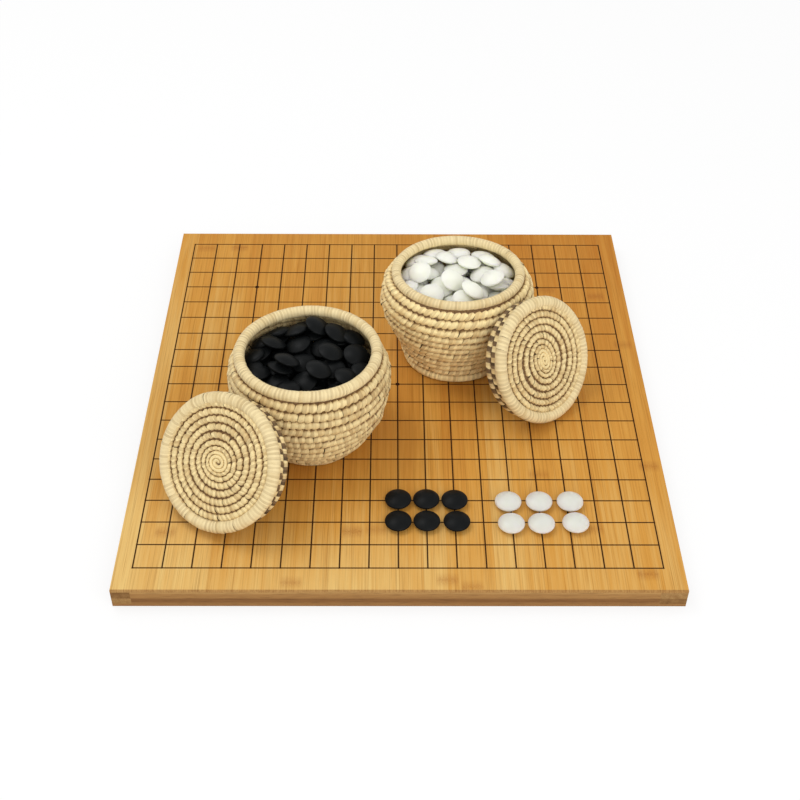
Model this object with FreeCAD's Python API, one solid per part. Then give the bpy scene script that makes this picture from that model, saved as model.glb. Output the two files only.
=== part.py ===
import FreeCAD, Part
import math
import os

# A go board of laminated bamboo, with two coiled straw bowls of biconvex stones.
# Millimetres. The origin is the centre of the board's underside: +X to the right,
# +Y to the back, +Z up.

Vector = FreeCAD.Vector
UP = Vector(0, 0, 1)

# ---- Board ----
lines_each_way = 19
column_pitch = 23.0
row_pitch = 24.0
line_width = 1.0
line_depth = 0.3
char_below_face = 0.05
star_diameter = 4.0
star_lines = [3, 9, 15]
margin_left = 14.2
margin_right = 16.1
margin_front = 22.8
margin_back = 19.0
top_ply_thickness = 2.2
upper_layer_thickness = 7.0
lower_layer_thickness = 6.2
bottom_ply_thickness = 3.0
left_batten_width = 15.0
right_batten_width = 21.0
end_batten_width = 18.0

# ---- Stones ----
stone_diameter = 21.7
stone_thickness = 8.6
stone_edge_radius = 1.2
stone_gap = 0.4
stone_rest_gap = 0.02
layer_step = 7.4
layer_turn = 0.37
ring_turn = 0.6
heap_wall_gap = 0.6
fill_spots = 72
golden_turn = math.pi * (3 - math.sqrt(5))

# Where the six stones of each colour lie on the board, in line spacings
# (column, row) from the front left crossing.
black_play = [(9.0, 2.9), (10.0, 2.9), (11.0, 2.87), (9.0, 1.9), (10.0, 1.9), (11.05, 1.89)]
white_play = [(12.9, 2.8), (14.0, 2.8), (15.1, 2.8), (12.95, 1.8), (14.0, 1.8), (15.2, 1.83)]

# ---- Straw coils: how far a coil bulges from its middle, and how deep its seams are ----
wall_coil_pitch = 7.9
wall_coil_bulge = 3.7
wall_coil_seam = 2.4
base_coil_pitch = 6.2
flat_coil_bulge = 2.9
flat_coil_seam = 1.7
coil_gap = 0.1
wall_end_gap = 0.5
rest_gap = 0.2
lean_gap = 0.35

# ---- Lids, in the lid's own frame: +Z out of its outer face, z = 0 at the rim coil ----
lid_coil_pitch = 5.8
lid_rim_coil_radius = 5.2
lid_top_above_rim = 0.6
collar_rows = 2
collar_pitch = 6.4
collar_bulge = 3.2
collar_seam = 1.9
collar_play_in_mouth = 0.9
wrap_thickness = 0.45
wraps_per_row = 68
wrap_slit_degrees = 0.3
rim_samples = 180
lean_samples = 45

wrapped_bulge = collar_bulge + coil_gap / 2 + wrap_thickness


class Bowl:
    """The sizes of one straw bowl. Radii are of the coils' centre line.

    Each bowl is pressed a little out of round: its foot, wall and rim are shallower, front
    to back, than they are wide, by the shares given.
    """

    def __init__(self, colour, centre, rim_coil, foot_coil, stations, foot_share, wall_share, rim_share,
                 layer_level, bed_level, heap_level):
        self.colour = colour
        self.centre = centre
        self.rim_coil_radius = rim_coil
        self.foot_coil_radius = foot_coil
        self.stations = stations
        self.foot_share = foot_share
        self.wall_share = wall_share
        self.rim_share = rim_share
        self.layer_level = layer_level
        self.bed_level = bed_level
        self.heap_level = heap_level
        self.rim_radius = stations[-1][0]
        self.rim_height = stations[-1][1]
        self.foot_radius = stations[0][0]
        self.mouth_radius = self.rim_radius - rim_coil


class Lid:
    """One lid: which way it leans from its bowl, how steeply, and how wide it is."""

    def __init__(self, bowl, rim_radius, lean_azimuth, face_azimuth, tilt):
        self.bowl = bowl
        self.rim_radius = rim_radius
        self.lean_azimuth = lean_azimuth
        self.face_azimuth = face_azimuth
        self.tilt = tilt
        self.collar_radius = bowl.mouth_radius - collar_play_in_mouth - wrapped_bulge


# Stations run from the foot coil up to the rim coil: (radius, height above the board).
# After them come the shares pressed out of round, and the heights up to which stones
# lie in flat layers, ride with the bowl, and lie loose.
black_bowl = Bowl(
    "black", (-74.9, -62.2), 4.7, 3.6,
    [(39.6, 3.8), (54.0, 24.0), (62.2, 48.0), (64.3, 66.0), (62.4, 80.0), (56.5, 91.3)],
    0.975, 0.975, 0.965, 40.0, 79.0, 82.0)
white_bowl = Bowl(
    "white", (52.2, 47.7), 4.3, 4.4,
    [(43.6, 4.6), (49.6, 24.0), (60.2, 48.0), (65.0, 66.0), (62.6, 80.0), (54.4, 91.4)],
    0.95, 0.93, 0.895, 44.0, 80.0, 85.0)
black_lid = Lid(black_bowl, 51.5, -127.0, -124.0, 54.0)
white_lid = Lid(white_bowl, 49.8, -45.0, -44.6, 62.0)

# Where the top stones of each heap are dropped, in turn: (x, y) from the bowl's centre.
black_heap = [(-30, 20), (-12, 36), (6, 38), (-17, -5), (18, 8), (39, 9), (23, 33), (9, -14)]
white_heap = [(-5, -7), (-28, 23), (-9, 29), (11, 21), (32, 23), (30, -5), (-34, 3), (12, -24)]
# Rings of points felt over a stone's skin: (share of its radius, how many points).
skin_rings = [(1.0, 32), (0.86, 14), (0.62, 10), (0.33, 6), (0.0, 1)]
# The leans tried for a dropped stone: (degrees from flat, direction of its upper face).
lean_choices = [(0, 0)] + [(tilt, turn) for tilt in (9, 18, 27) for turn in range(0, 360, 45)]

# ---- Sizes that follow from those above ----
board_width = (lines_each_way - 1) * column_pitch + margin_left + margin_right
board_depth = (lines_each_way - 1) * row_pitch + margin_front + margin_back
board_top = bottom_ply_thickness + lower_layer_thickness + upper_layer_thickness + top_ply_thickness
left_edge = -board_width / 2
front_edge = -board_depth / 2
first_column = left_edge + margin_left
first_row = front_edge + margin_front

lens_rim_centre = stone_diameter / 2 - stone_edge_radius
lens_half = stone_thickness / 2
lens_face_radius = (lens_rim_centre ** 2 + lens_half ** 2 - stone_edge_radius ** 2) \
    / (2 * (lens_half - stone_edge_radius))
lens_face_offset = lens_face_radius - lens_half

wall_coil_sag = wall_coil_bulge - wall_coil_seam
wall_arc_radius = (wall_coil_pitch ** 2 / 4 + wall_coil_sag ** 2) / (2 * wall_coil_sag)


# ---- Writing the nodes ----
def write_node(name, shape):
    os.makedirs("parts", exist_ok=True)
    shape.exportStep("parts/" + name + ".step")


def pressed(shape, share):
    """A shape made about the Z axis, pressed out of round: front to back by a share."""
    squeeze = FreeCAD.Matrix()
    squeeze.scale(1.0, share, 1.0)
    return shape.transformGeometry(squeeze)


def set_down(shape, centre, height):
    """A copy of a shape that was made about the Z axis, set down at a bowl's centre."""
    placed = shape.copy()
    placed.translate(Vector(centre[0], centre[1], height))
    return placed


# ---- Board ----
def block(x_low, x_high, y_low, y_high, z_low, z_high):
    size = (x_high - x_low, y_high - y_low, z_high - z_low)
    return Part.makeBox(*size, Vector(x_low, y_low, z_low))


def rectangle(x_low, x_high, y_low, y_high, z):
    corners = [(x_low, y_low), (x_high, y_low), (x_high, y_high), (x_low, y_high), (x_low, y_low)]
    return Part.makePolygon([Vector(x, y, z) for x, y in corners])


def playing_grid(depth, top):
    """The crossed lines and the nine star points as one flat lattice below a height."""
    half = line_width / 2
    columns = [first_column + i * column_pitch for i in range(lines_each_way)]
    rows = [first_row + j * row_pitch for j in range(lines_each_way)]
    z = top - depth
    outline = rectangle(columns[0] - half, columns[-1] + half, rows[0] - half, rows[-1] + half, z)
    windows = []
    for left, right in zip(columns, columns[1:]):
        for front, back in zip(rows, rows[1:]):
            windows.append(rectangle(left + half, right - half, front + half, back - half, z))
    lattice = Part.makeFace([outline] + windows, "Part::FaceMakerBullseye")
    lattice = lattice.extrude(Vector(0, 0, depth))
    stars = []
    for i in star_lines:
        for j in star_lines:
            foot = Vector(columns[i], rows[j], z)
            stars.append(Part.makeCylinder(star_diameter / 2, depth, foot))
    return lattice.fuse(stars)


def make_board():
    right_edge = left_edge + board_width
    back_edge = front_edge + board_depth
    lower_z = bottom_ply_thickness
    middle_z = lower_z + lower_layer_thickness
    upper_z = middle_z + upper_layer_thickness
    write_node("board_bottom_ply", block(left_edge, right_edge, front_edge, back_edge, 0, lower_z))
    top_ply = block(left_edge, right_edge, front_edge, back_edge, upper_z, board_top)
    top_ply = top_ply.cut(playing_grid(line_depth, board_top))
    write_node("board_top_ply", top_ply)
    char_top = board_top - char_below_face
    write_node("board_grid_lines", playing_grid(line_depth - char_below_face, char_top))

    inner_left = left_edge + left_batten_width
    inner_right = right_edge - right_batten_width
    inner_front = front_edge + end_batten_width
    inner_back = back_edge - end_batten_width
    layers = {"lower": (lower_z, middle_z), "upper": (middle_z, upper_z)}
    for layer, (low, high) in layers.items():
        battens = {
            "left": (left_edge, inner_left, front_edge, back_edge),
            "right": (inner_right, right_edge, front_edge, back_edge),
            "front": (inner_left, inner_right, front_edge, inner_front),
            "back": (inner_left, inner_right, inner_back, back_edge),
        }
        for side, outline in battens.items():
            write_node("board_" + side + "_batten_" + layer, block(*outline, low, high))
    core = block(inner_left, inner_right, inner_front, inner_back, lower_z, upper_z)
    write_node("board_core", core)


# ---- Stones ----
def make_stone():
    """A lens with a rounded edge, centred on the origin and lying flat."""
    reach = lens_face_radius - stone_edge_radius
    along = lens_rim_centre / reach
    rise = lens_face_offset / reach
    top = Vector(0, 0, lens_half)
    bottom = Vector(0, 0, -lens_half)
    blend = lens_rim_centre / 2 / lens_face_radius
    shoulder_x = lens_face_radius * along
    shoulder_z = lens_face_radius * rise - lens_face_offset
    cap_x = lens_face_radius * blend
    cap_z = math.sqrt(lens_face_radius ** 2 - cap_x ** 2) - lens_face_offset
    edge = Vector(stone_diameter / 2, 0, 0)
    upper = Part.Arc(top, Vector(cap_x, 0, cap_z), Vector(shoulder_x, 0, shoulder_z))
    rim = Part.Arc(Vector(shoulder_x, 0, shoulder_z), edge, Vector(shoulder_x, 0, -shoulder_z))
    lower = Part.Arc(Vector(shoulder_x, 0, -shoulder_z), Vector(cap_x, 0, -cap_z), bottom)
    outline = Part.Wire([upper.toShape(), rim.toShape(), lower.toShape(),
                         Part.LineSegment(bottom, top).toShape()])
    return Part.Face(outline).revolve(Vector(0, 0, 0), UP, 360)


def turned_stone(stone, x, y, z, tilt, azimuth):
    """A stone leant over by tilt degrees, its upper face towards azimuth."""
    placed = stone.copy()
    placed.rotate(Vector(0, 0, 0), Vector(0, 1, 0), tilt)
    placed.rotate(Vector(0, 0, 0), UP, azimuth)
    placed.translate(Vector(x, y, z))
    return placed


def stone_axes(tilt, azimuth):
    """The stone's two edge directions and its face direction, as plain triples."""
    lean = math.radians(tilt)
    turn = math.radians(azimuth)
    side = (math.cos(lean) * math.cos(turn), math.cos(lean) * math.sin(turn), -math.sin(lean))
    across = (-math.sin(turn), math.cos(turn), 0.0)
    face = (math.sin(lean) * math.cos(turn), math.sin(lean) * math.sin(turn), math.cos(lean))
    return side, across, face


def skin_points():
    """Points all over a stone's skin, used to feel for its neighbours."""
    points = []
    for share, count in skin_rings:
        radius = share * stone_diameter / 2
        height = 0.0
        if share < 1:
            height = math.sqrt(lens_face_radius ** 2 - radius ** 2) - lens_face_offset
        for k in range(count):
            angle = 2 * math.pi * k / count
            x = radius * math.cos(angle)
            y = radius * math.sin(angle)
            points.append((x, y, height))
            if share < 1:
                points.append((x, y, -height))
    return points


SKIN = skin_points()


def lens_rise(dx, dy, axes):
    """How far above a stone's centre its skin reaches on the upright line at dx, dy.

    The skin is where two balls overlap, so the line leaves the lens at the lower of
    its two upper crossings. None where the line misses the stone.
    """
    face = axes[2]
    top = math.inf
    bottom = -math.inf
    for sign in (1, -1):
        cx = dx + sign * lens_face_offset * face[0]
        cy = dy + sign * lens_face_offset * face[1]
        cz = -sign * lens_face_offset * face[2]
        room = lens_face_radius ** 2 - cx * cx - cy * cy
        if room <= 0:
            return None
        half = math.sqrt(room)
        top = min(top, cz + half)
        bottom = max(bottom, cz - half)
    if top <= bottom:
        return None
    return top


def neighbours(x, y, placed):
    reach = stone_diameter + stone_gap
    return [other for other in placed if math.hypot(x - other[0], y - other[1]) < reach]


def settle_height(x, y, tilt, azimuth, near, floor):
    """The lowest centre height at which a stone clears the floor and those below it."""
    axes = stone_axes(tilt, azimuth)
    side, across, face = axes
    skin = []
    for u, v, w in SKIN:
        skin.append((u * side[0] + v * across[0] + w * face[0],
                     u * side[1] + v * across[1] + w * face[1],
                     u * side[2] + v * across[2] + w * face[2]))
    height = floor - min(point[2] for point in skin)
    for ox, oy, oz, other_axes, other_skin in near:
        for px, py, pz in skin:
            rise = lens_rise(x + px - ox, y + py - oy, other_axes)
            if rise is not None:
                height = max(height, oz + rise - pz + stone_gap)
        for px, py, pz in other_skin:
            rise = lens_rise(ox + px - x, oy + py - y, flipped(axes))
            if rise is not None:
                height = max(height, oz + pz + rise + stone_gap)
    return height, axes, skin


def lowest_rest(x, y, placed):
    """Lets a dropped stone lean whichever way brings its centre lowest."""
    near = neighbours(x, y, placed)
    best = None
    for lean in lean_choices:
        rest = settle_height(x, y, *lean, near, 0.0)
        if best is None or rest[0] < best[0][0]:
            best = (rest, lean)
    return best


def flipped(axes):
    """Axes seen upside down, so that lens_rise gives how far a stone reaches downwards."""
    side, across, face = axes
    return side, across, (face[0], face[1], -face[2])


def flat_ring(radius, count, start):
    step = 2 * math.pi / count
    return [(radius * math.cos(start + k * step), radius * math.sin(start + k * step))
            for k in range(count)]


def flat_layer(inner_radius, start):
    """Stones lying flat in rings that fill a circle from its edge inwards."""
    spots = []
    pitch = stone_diameter + stone_gap
    radius = inner_radius - stone_diameter / 2 - stone_gap
    while radius > pitch / 2:
        count = int(math.pi / math.asin(min(1.0, pitch / 2 / radius)))
        spots += flat_ring(radius, count, start)
        radius -= pitch
        start += ring_turn
    if radius > -pitch / 2 + stone_gap:
        spots.append((0.0, 0.0))
    return spots


def scattered_spots(room, share):
    """Spots spread evenly over a pressed circle, turning outwards from its middle."""
    spots = []
    for k in range(fill_spots):
        radius = room * math.sqrt((k + 0.5) / fill_spots)
        spots.append((radius * math.cos(k * golden_turn), share * radius * math.sin(k * golden_turn)))
    return spots


def kept_inside(x, y, room, share):
    """A spot moved straight inwards, if need be, to lie within a pressed circle."""
    inward = min(1.0, room / math.hypot(x, y / share))
    return x * inward, y * inward


def fill_lowest(placed, spots, room_beside, share, level):
    """Drops stones one by one on whichever spot is lowest, until all are at a level."""
    dropped = []

    def rest_on(x, y):
        height = settle_height(x, y, 0, 0, neighbours(x, y, placed), 0.0)[0]
        inside = kept_inside(x, y, room_beside(height), share)
        if inside == (x, y):
            return height, x, y
        return settle_height(*inside, 0, 0, neighbours(*inside, placed), 0.0)[0], *inside

    rests = [rest_on(x, y) for x, y in spots]
    while min(rests)[0] < level:
        height, x, y = min(rests)
        (z, axes, skin), lean = lowest_rest(x, y, placed)
        placed.append((x, y, z, axes, skin))
        dropped.append((x, y, z, lean))
        for k, (old_height, old_x, old_y) in enumerate(rests):
            if math.hypot(old_x - x, old_y - y) < stone_diameter + stone_gap:
                rests[k] = rest_on(*spots[k])
    return dropped


def bowl_stones(stone, bowl, top_spots, base_top, inner_radius_at):
    """Flat layers at the bottom, loose stones over them, then those that lie on top.

    The stones up to bowl.bed_level ride with the bowl. Those above it stay within the
    mouth, so that they can be lifted straight out.
    """
    placed = []
    bed = []

    def room_beside(height):
        levels = [height + reach * stone_diameter / 2 for reach in (-1, -0.5, 0, 0.5)]
        tightest = min(inner_radius_at(max(base_top, level)) for level in levels)
        return tightest - stone_diameter / 2

    height = base_top + lens_half
    turn = 0.0
    while height < bowl.layer_level:
        for x, y in flat_layer(room_beside(height) + stone_diameter / 2, turn):
            z, axes, skin = settle_height(x, y, 0, 0, neighbours(x, y, placed), base_top + stone_gap)
            placed.append((x, y, z, axes, skin))
            bed.append((x, y, z, (0, 0)))
        height = max(stone_at[2] for stone_at in placed) + layer_step
        turn += layer_turn
    belly_room = max(room_beside(z) for r, z in bowl.stations)
    bed += fill_lowest(placed, scattered_spots(belly_room, 1.0), room_beside, 1.0, bowl.bed_level)

    taken = heap_wall_gap + stone_diameter / 2
    mouth_room = bowl.mouth_radius - taken
    mouth_share = (bowl.mouth_radius * bowl.rim_share - taken) / mouth_room
    heap = fill_lowest(placed, scattered_spots(mouth_room, mouth_share), lambda height: mouth_room,
                       mouth_share, bowl.heap_level)
    for spot in top_spots:
        x, y = kept_inside(*spot, mouth_room, mouth_share)
        (z, axes, skin), lean = lowest_rest(x, y, placed)
        placed.append((x, y, z, axes, skin))
        heap.append((x, y, z, lean))
    return ([turned_stone(stone, x, y, z, *lean) for x, y, z, lean in bed],
            [turned_stone(stone, x, y, z, *lean) for x, y, z, lean in heap])


# ---- Coiled straw ----
def scalloped_section(rows, normals, pitch, bulge, seam):
    """A closed outline of round coils side by side, one bump per coil on each side."""
    tangents = [(-nz, nr) for nr, nz in normals]
    joints = []
    for k in range(len(rows) + 1):
        if k == 0:
            base, shift, index = rows[0], -pitch / 2, 0
        elif k == len(rows):
            base, shift, index = rows[-1], pitch / 2, len(rows) - 1
        else:
            base = ((rows[k - 1][0] + rows[k][0]) / 2, (rows[k - 1][1] + rows[k][1]) / 2)
            shift, index = 0.0, k
        tangent = tangents[index]
        normal = normals[index]
        if 0 < k < len(rows):
            normal = ((normals[k - 1][0] + normals[k][0]) / 2, (normals[k - 1][1] + normals[k][1]) / 2)
        joints.append(((base[0] + tangent[0] * shift, base[1] + tangent[1] * shift), normal))

    def beside(point, normal, distance):
        return Vector(point[0] + normal[0] * distance, 0, point[1] + normal[1] * distance)

    edges = []
    for side in (1, -1):
        arcs = []
        for k, (row, normal) in enumerate(zip(rows, normals)):
            start = beside(*joints[k], side * seam)
            crest = beside(row, normal, side * bulge)
            end = beside(*joints[k + 1], side * seam)
            arcs.append(Part.Arc(start, crest, end).toShape())
        edges += arcs
    for joint in (joints[0], joints[-1]):
        ends = (beside(*joint, seam), beside(*joint, -seam))
        edges.append(Part.LineSegment(*ends).toShape())
    return Part.Wire(Part.__sortEdges__(edges))


def wall_rows(bowl):
    """Coil centres and outward normals, evenly spaced up the bowl's side."""
    curve = Part.BSplineCurve()
    curve.interpolate([Vector(r, 0, z) for r, z in bowl.stations])
    start = bowl.foot_coil_radius + wall_end_gap
    room = curve.length() - start - bowl.rim_coil_radius - wall_end_gap
    count = int(round(room / wall_coil_pitch))
    pitch = room / count
    rows = []
    normals = []
    for k in range(count):
        parameter = curve.parameterAtDistance(start + (k + 0.5) * pitch, curve.FirstParameter)
        point = curve.value(parameter)
        tangent = curve.tangent(parameter)[0]
        rows.append((point.x, point.z))
        normals.append((tangent.z, -tangent.x))
    return rows, normals, pitch


def flat_spiral(radius, pitch):
    """A flat coil wound from the middle: half turns about two centres half a pitch apart."""
    def half_turn(rows, angle, shift):
        section = scalloped_outline_from_axis(rows, pitch)
        turned = section.revolve(Vector(0, 0, 0), UP, angle)
        turned.translate(Vector(shift, 0, 0))
        return turned

    count = int(radius / pitch) + 2
    far_half = half_turn([k * pitch for k in range(count)], 180, 0.0)
    near_half = half_turn([(k + 0.5) * pitch for k in range(count)], -180, pitch / 2)
    disc = far_half.fuse(near_half)
    trim = Part.makeCylinder(radius, 4 * flat_coil_bulge, Vector(0, 0, -2 * flat_coil_bulge))
    return disc.common(trim)


def scalloped_outline_from_axis(rows, pitch):
    """The half section of flat_spiral, from its axis outwards."""
    edges = []
    inner = max(0.0, rows[0] - pitch / 2)
    for side in (1, -1):
        for row in rows:
            crest = Vector(row, 0, side * flat_coil_bulge)
            left = Vector(row - pitch / 2, 0, side * flat_coil_seam)
            right = Vector(row + pitch / 2, 0, side * flat_coil_seam)
            arc = Part.Arc(left, crest, right)
            if row == 0:
                arc = Part.Arc(crest, arc.value((arc.parameter(crest) + arc.parameter(right)) / 2), right)
            edges.append(arc.toShape())
    first = flat_coil_bulge if rows[0] == 0 else flat_coil_seam
    last = rows[-1] + pitch / 2
    for reach, half in ((inner, first), (last, flat_coil_seam)):
        edges.append(Part.LineSegment(Vector(reach, 0, half), Vector(reach, 0, -half)).toShape())
    return Part.Face(Part.Wire(Part.__sortEdges__(edges)))


def make_bowl(bowl, stone, heap):
    name = bowl.colour + "_bowl_"
    floor = board_top + rest_gap - (bowl.stations[0][1] - bowl.foot_coil_radius)
    foot = Part.makeTorus(bowl.foot_radius, bowl.foot_coil_radius, Vector(0, 0, bowl.stations[0][1]))
    write_node(name + "foot_coil", set_down(pressed(foot, bowl.foot_share), bowl.centre, floor))
    rim = Part.makeTorus(bowl.rim_radius, bowl.rim_coil_radius, Vector(0, 0, bowl.rim_height))
    write_node(name + "rim_coil", set_down(pressed(rim, bowl.rim_share), bowl.centre, floor))

    rows, normals, pitch = wall_rows(bowl)
    section = scalloped_section(rows, normals, pitch, wall_coil_bulge, wall_coil_seam)
    wall = Part.Face(section).revolve(Vector(0, 0, 0), UP, 360)
    write_node(name + "wall", set_down(pressed(wall, bowl.wall_share), bowl.centre, floor))

    base_radius = bowl.foot_radius - bowl.foot_coil_radius - coil_gap
    base_height = bowl.stations[0][1]
    base = flat_spiral(base_radius, base_coil_pitch)
    write_node(name + "base", set_down(pressed(base, bowl.foot_share), bowl.centre, floor + base_height))

    crests = [(r - nr * wall_coil_bulge, z - nz * wall_coil_bulge)
              for (r, z), (nr, nz) in zip(rows, normals)]

    def inner_radius_at(height):
        for (low_r, low_z), (high_r, high_z) in zip(crests, crests[1:]):
            if height <= high_z:
                share = (height - low_z) / (high_z - low_z)
                return (low_r + share * (high_r - low_r)) * bowl.wall_share - stone_gap
        return crests[-1][0] * bowl.wall_share - stone_gap

    bed, heap_stones = bowl_stones(stone, bowl, heap, base_height + flat_coil_bulge, inner_radius_at)
    write_node(bowl.colour + "_stones_bed", set_down(Part.makeCompound(bed), bowl.centre, floor))
    write_node(bowl.colour + "_stones_heap", set_down(Part.makeCompound(heap_stones), bowl.centre, floor))
    return rows, normals


# ---- Lids ----
def collar_depths():
    """Heights of the collar's coils in the lid's frame, the first one under the rim coil."""
    return [-(lid_rim_coil_radius + collar_bulge + coil_gap) - k * collar_pitch for k in range(collar_rows)]


def wall_points(bowl, rows, normals, lean_azimuth):
    """Points along the bowl's coils on the side that a lid leans on: (x, y, z, coil radius)."""
    floor = board_top + rest_gap - (bowl.stations[0][1] - bowl.foot_coil_radius)
    rings = []
    for (r, z), (nr, nz) in zip(rows, normals):
        inset = wall_arc_radius - wall_coil_bulge
        rings.append((r - nr * inset, z - nz * inset, wall_arc_radius, bowl.wall_share))
    rings.append((bowl.rim_radius, bowl.rim_height, bowl.rim_coil_radius, bowl.rim_share))
    points = []
    for radius, z, coil, share in rings:
        for k in range(-lean_samples, lean_samples + 1):
            angle = math.radians(lean_azimuth + k * 90.0 / lean_samples)
            points.append((radius * math.cos(angle), radius * share * math.sin(angle), z + floor, coil))
    return points


def lid_placement(lid, rows, normals):
    """Leans a lid on its bowl: its lowest point over the board, its collar at the wall."""
    tilt = math.radians(lid.tilt)
    deepest = collar_depths()[-1]
    rim_drop = lid.rim_radius * math.sin(tilt) + lid_rim_coil_radius
    collar_drop = -deepest * math.cos(tilt) + lid.collar_radius * math.sin(tilt) + wrapped_bulge
    height = board_top + rest_gap + max(rim_drop, collar_drop)
    side, across, face = stone_axes(lid.tilt, lid.face_azimuth)
    rings = [(lid.rim_radius, 0.0, lid_rim_coil_radius)]
    rings += [(lid.collar_radius, depth, wrapped_bulge) for depth in collar_depths()]
    toward = math.radians(lid.lean_azimuth)
    lean_x = math.cos(toward)
    lean_y = math.sin(toward)
    wall = wall_points(lid.bowl, rows, normals, lid.lean_azimuth)
    distance = 0.0
    for radius, depth, coil in rings:
        for k in range(rim_samples):
            angle = 2 * math.pi * k / rim_samples
            u = radius * math.cos(angle)
            v = radius * math.sin(angle)
            x = u * side[0] + v * across[0] + depth * face[0]
            y = u * side[1] + v * across[1] + depth * face[1]
            z = u * side[2] + v * across[2] + depth * face[2] + height
            for wall_x, wall_y, wall_z, wall_coil in wall:
                # How far along the lean direction this point has to be from the wall's point.
                reach = coil + wall_coil + lean_gap
                aside = (x - wall_x) * lean_y - (y - wall_y) * lean_x
                room = reach ** 2 - (z - wall_z) ** 2 - aside ** 2
                if room > 0:
                    behind = (wall_x - x) * lean_x + (wall_y - y) * lean_y
                    distance = max(distance, behind + math.sqrt(room))
    centre = lid.bowl.centre
    return Vector(centre[0] + distance * lean_x, centre[1] + distance * lean_y, height)


def wrap_skin(row_radius, depth, start, sweep):
    """One straw wrap: a skin over the outer side of a collar coil, between two angles."""
    half = collar_pitch / 2 - coil_gap
    inner = [Vector(row_radius + collar_seam + coil_gap, 0, depth - half),
             Vector(row_radius + collar_bulge + coil_gap / 2, 0, depth),
             Vector(row_radius + collar_seam + coil_gap, 0, depth + half)]
    outer = [point + Vector(wrap_thickness, 0, 0) for point in inner]
    edges = [Part.Arc(*inner).toShape(), Part.Arc(*outer).toShape(),
             Part.LineSegment(inner[0], outer[0]).toShape(), Part.LineSegment(inner[2], outer[2]).toShape()]
    skin = Part.Face(Part.Wire(Part.__sortEdges__(edges)))
    skin.rotate(Vector(0, 0, 0), UP, start)
    return skin.revolve(Vector(0, 0, 0), UP, sweep)


def make_lid(lid, rows, normals):
    name = lid.bowl.colour + "_lid_"
    centre = lid_placement(lid, rows, normals)

    def leant(shape):
        placed = shape.copy()
        placed.rotate(Vector(0, 0, 0), Vector(0, 1, 0), lid.tilt)
        placed.rotate(Vector(0, 0, 0), UP, lid.face_azimuth)
        placed.translate(centre)
        return placed

    write_node(name + "rim_coil", leant(Part.makeTorus(lid.rim_radius, lid_rim_coil_radius)))
    top = flat_spiral(lid.rim_radius - lid_rim_coil_radius - coil_gap, lid_coil_pitch)
    top.translate(Vector(0, 0, lid_top_above_rim))
    write_node(name + "top", leant(top))

    depths = collar_depths()
    section = scalloped_section([(lid.collar_radius, depth) for depth in reversed(depths)],
                                [(1.0, 0.0)] * collar_rows, collar_pitch, collar_bulge, collar_seam)
    collar = Part.Face(section).revolve(Vector(0, 0, 0), UP, 360)
    write_node(name + "collar", leant(collar))

    step = 360.0 / wraps_per_row
    sides = {"dark": [], "natural": []}
    for row, depth in enumerate(depths):
        for k in range(wraps_per_row):
            tint = "dark" if (k + row) % 2 else "natural"
            sides[tint].append(wrap_skin(lid.collar_radius, depth, k * step, step - wrap_slit_degrees))
    for tint, wraps in sides.items():
        write_node(name + tint + "_wraps", leant(Part.makeCompound(wraps)))


# ---- The whole set ----
make_board()
stone = make_stone()
for bowl, lid, heap in ((black_bowl, black_lid, black_heap), (white_bowl, white_lid, white_heap)):
    rows, normals = make_bowl(bowl, stone, heap)
    make_lid(lid, rows, normals)
for colour, play in (("black", black_play), ("white", white_play)):
    for number, (column, row) in enumerate(play, 1):
        x = first_column + column * column_pitch
        y = first_row + row * row_pitch
        lying = turned_stone(stone, x, y, board_top + stone_rest_gap + lens_half, 0, 0)
        write_node(colour + "_stone_" + str(number), lying)
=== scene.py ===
import math
import random

import bpy
from mathutils import Matrix, Vector


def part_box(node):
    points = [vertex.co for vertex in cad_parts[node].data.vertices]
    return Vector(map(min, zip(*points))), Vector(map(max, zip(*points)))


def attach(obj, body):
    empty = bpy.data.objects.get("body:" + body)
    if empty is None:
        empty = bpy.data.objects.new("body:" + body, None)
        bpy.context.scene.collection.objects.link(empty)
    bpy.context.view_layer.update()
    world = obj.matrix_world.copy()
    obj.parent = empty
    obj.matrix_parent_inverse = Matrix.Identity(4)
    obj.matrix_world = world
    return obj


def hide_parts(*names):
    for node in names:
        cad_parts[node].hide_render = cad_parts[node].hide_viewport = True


# A bamboo go board with two coiled straw bowls, their lids and the stones.
# Metres, in the frame of the construction model.

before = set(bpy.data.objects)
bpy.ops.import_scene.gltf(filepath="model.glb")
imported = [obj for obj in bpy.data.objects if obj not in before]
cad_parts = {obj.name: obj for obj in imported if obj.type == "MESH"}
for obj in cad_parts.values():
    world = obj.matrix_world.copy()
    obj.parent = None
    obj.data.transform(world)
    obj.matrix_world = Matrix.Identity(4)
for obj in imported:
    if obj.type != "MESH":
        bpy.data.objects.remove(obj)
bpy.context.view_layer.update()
random.seed(19)

MM = 0.001
UP = Vector((0, 0, 1))
COLOURS = ("black", "white")
stones_on_board = 6

# ---- Straw of the bowls ----
wall_coil_pitch = 7.9 * MM
wall_coil_bulge = 3.7 * MM
wall_wrap_width = 5.7 * MM
rim_wrap_width = 3.0 * MM
foot_wrap_width = 4.0 * MM
end_gap = 0.5 * MM
packing_thickness = 2.0 * MM
# Half height of a wall wrap, as a share of its coil's pitch, and how uneven the wall is laid.
wall_wrap_reach = 0.62
wall_raggedness = 0.11
# How far each row of wraps is shifted against the row below, in wraps.
row_shift = 0.37
# Up to the first height a wall eases out of its foot's shape, and from the second into its rim's.
foot_shape_ends = 30 * MM
rim_shape_starts = 70 * MM

# ---- Straw of the lids ----
# A lid's top starts as a bare cord and widens, once it is wrapped, up to the coil's pitch.
spiral_start_angle = 0.6 * math.pi
spiral_start_radius = 1.4 * MM
bare_cord_radius = 9.0 * MM
lid_cord_pitch = 3.3 * MM
lid_pitch_growth = 0.22
lid_coil_pitch = 6.0 * MM
cord_turn_width = 2.0 * MM
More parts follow.
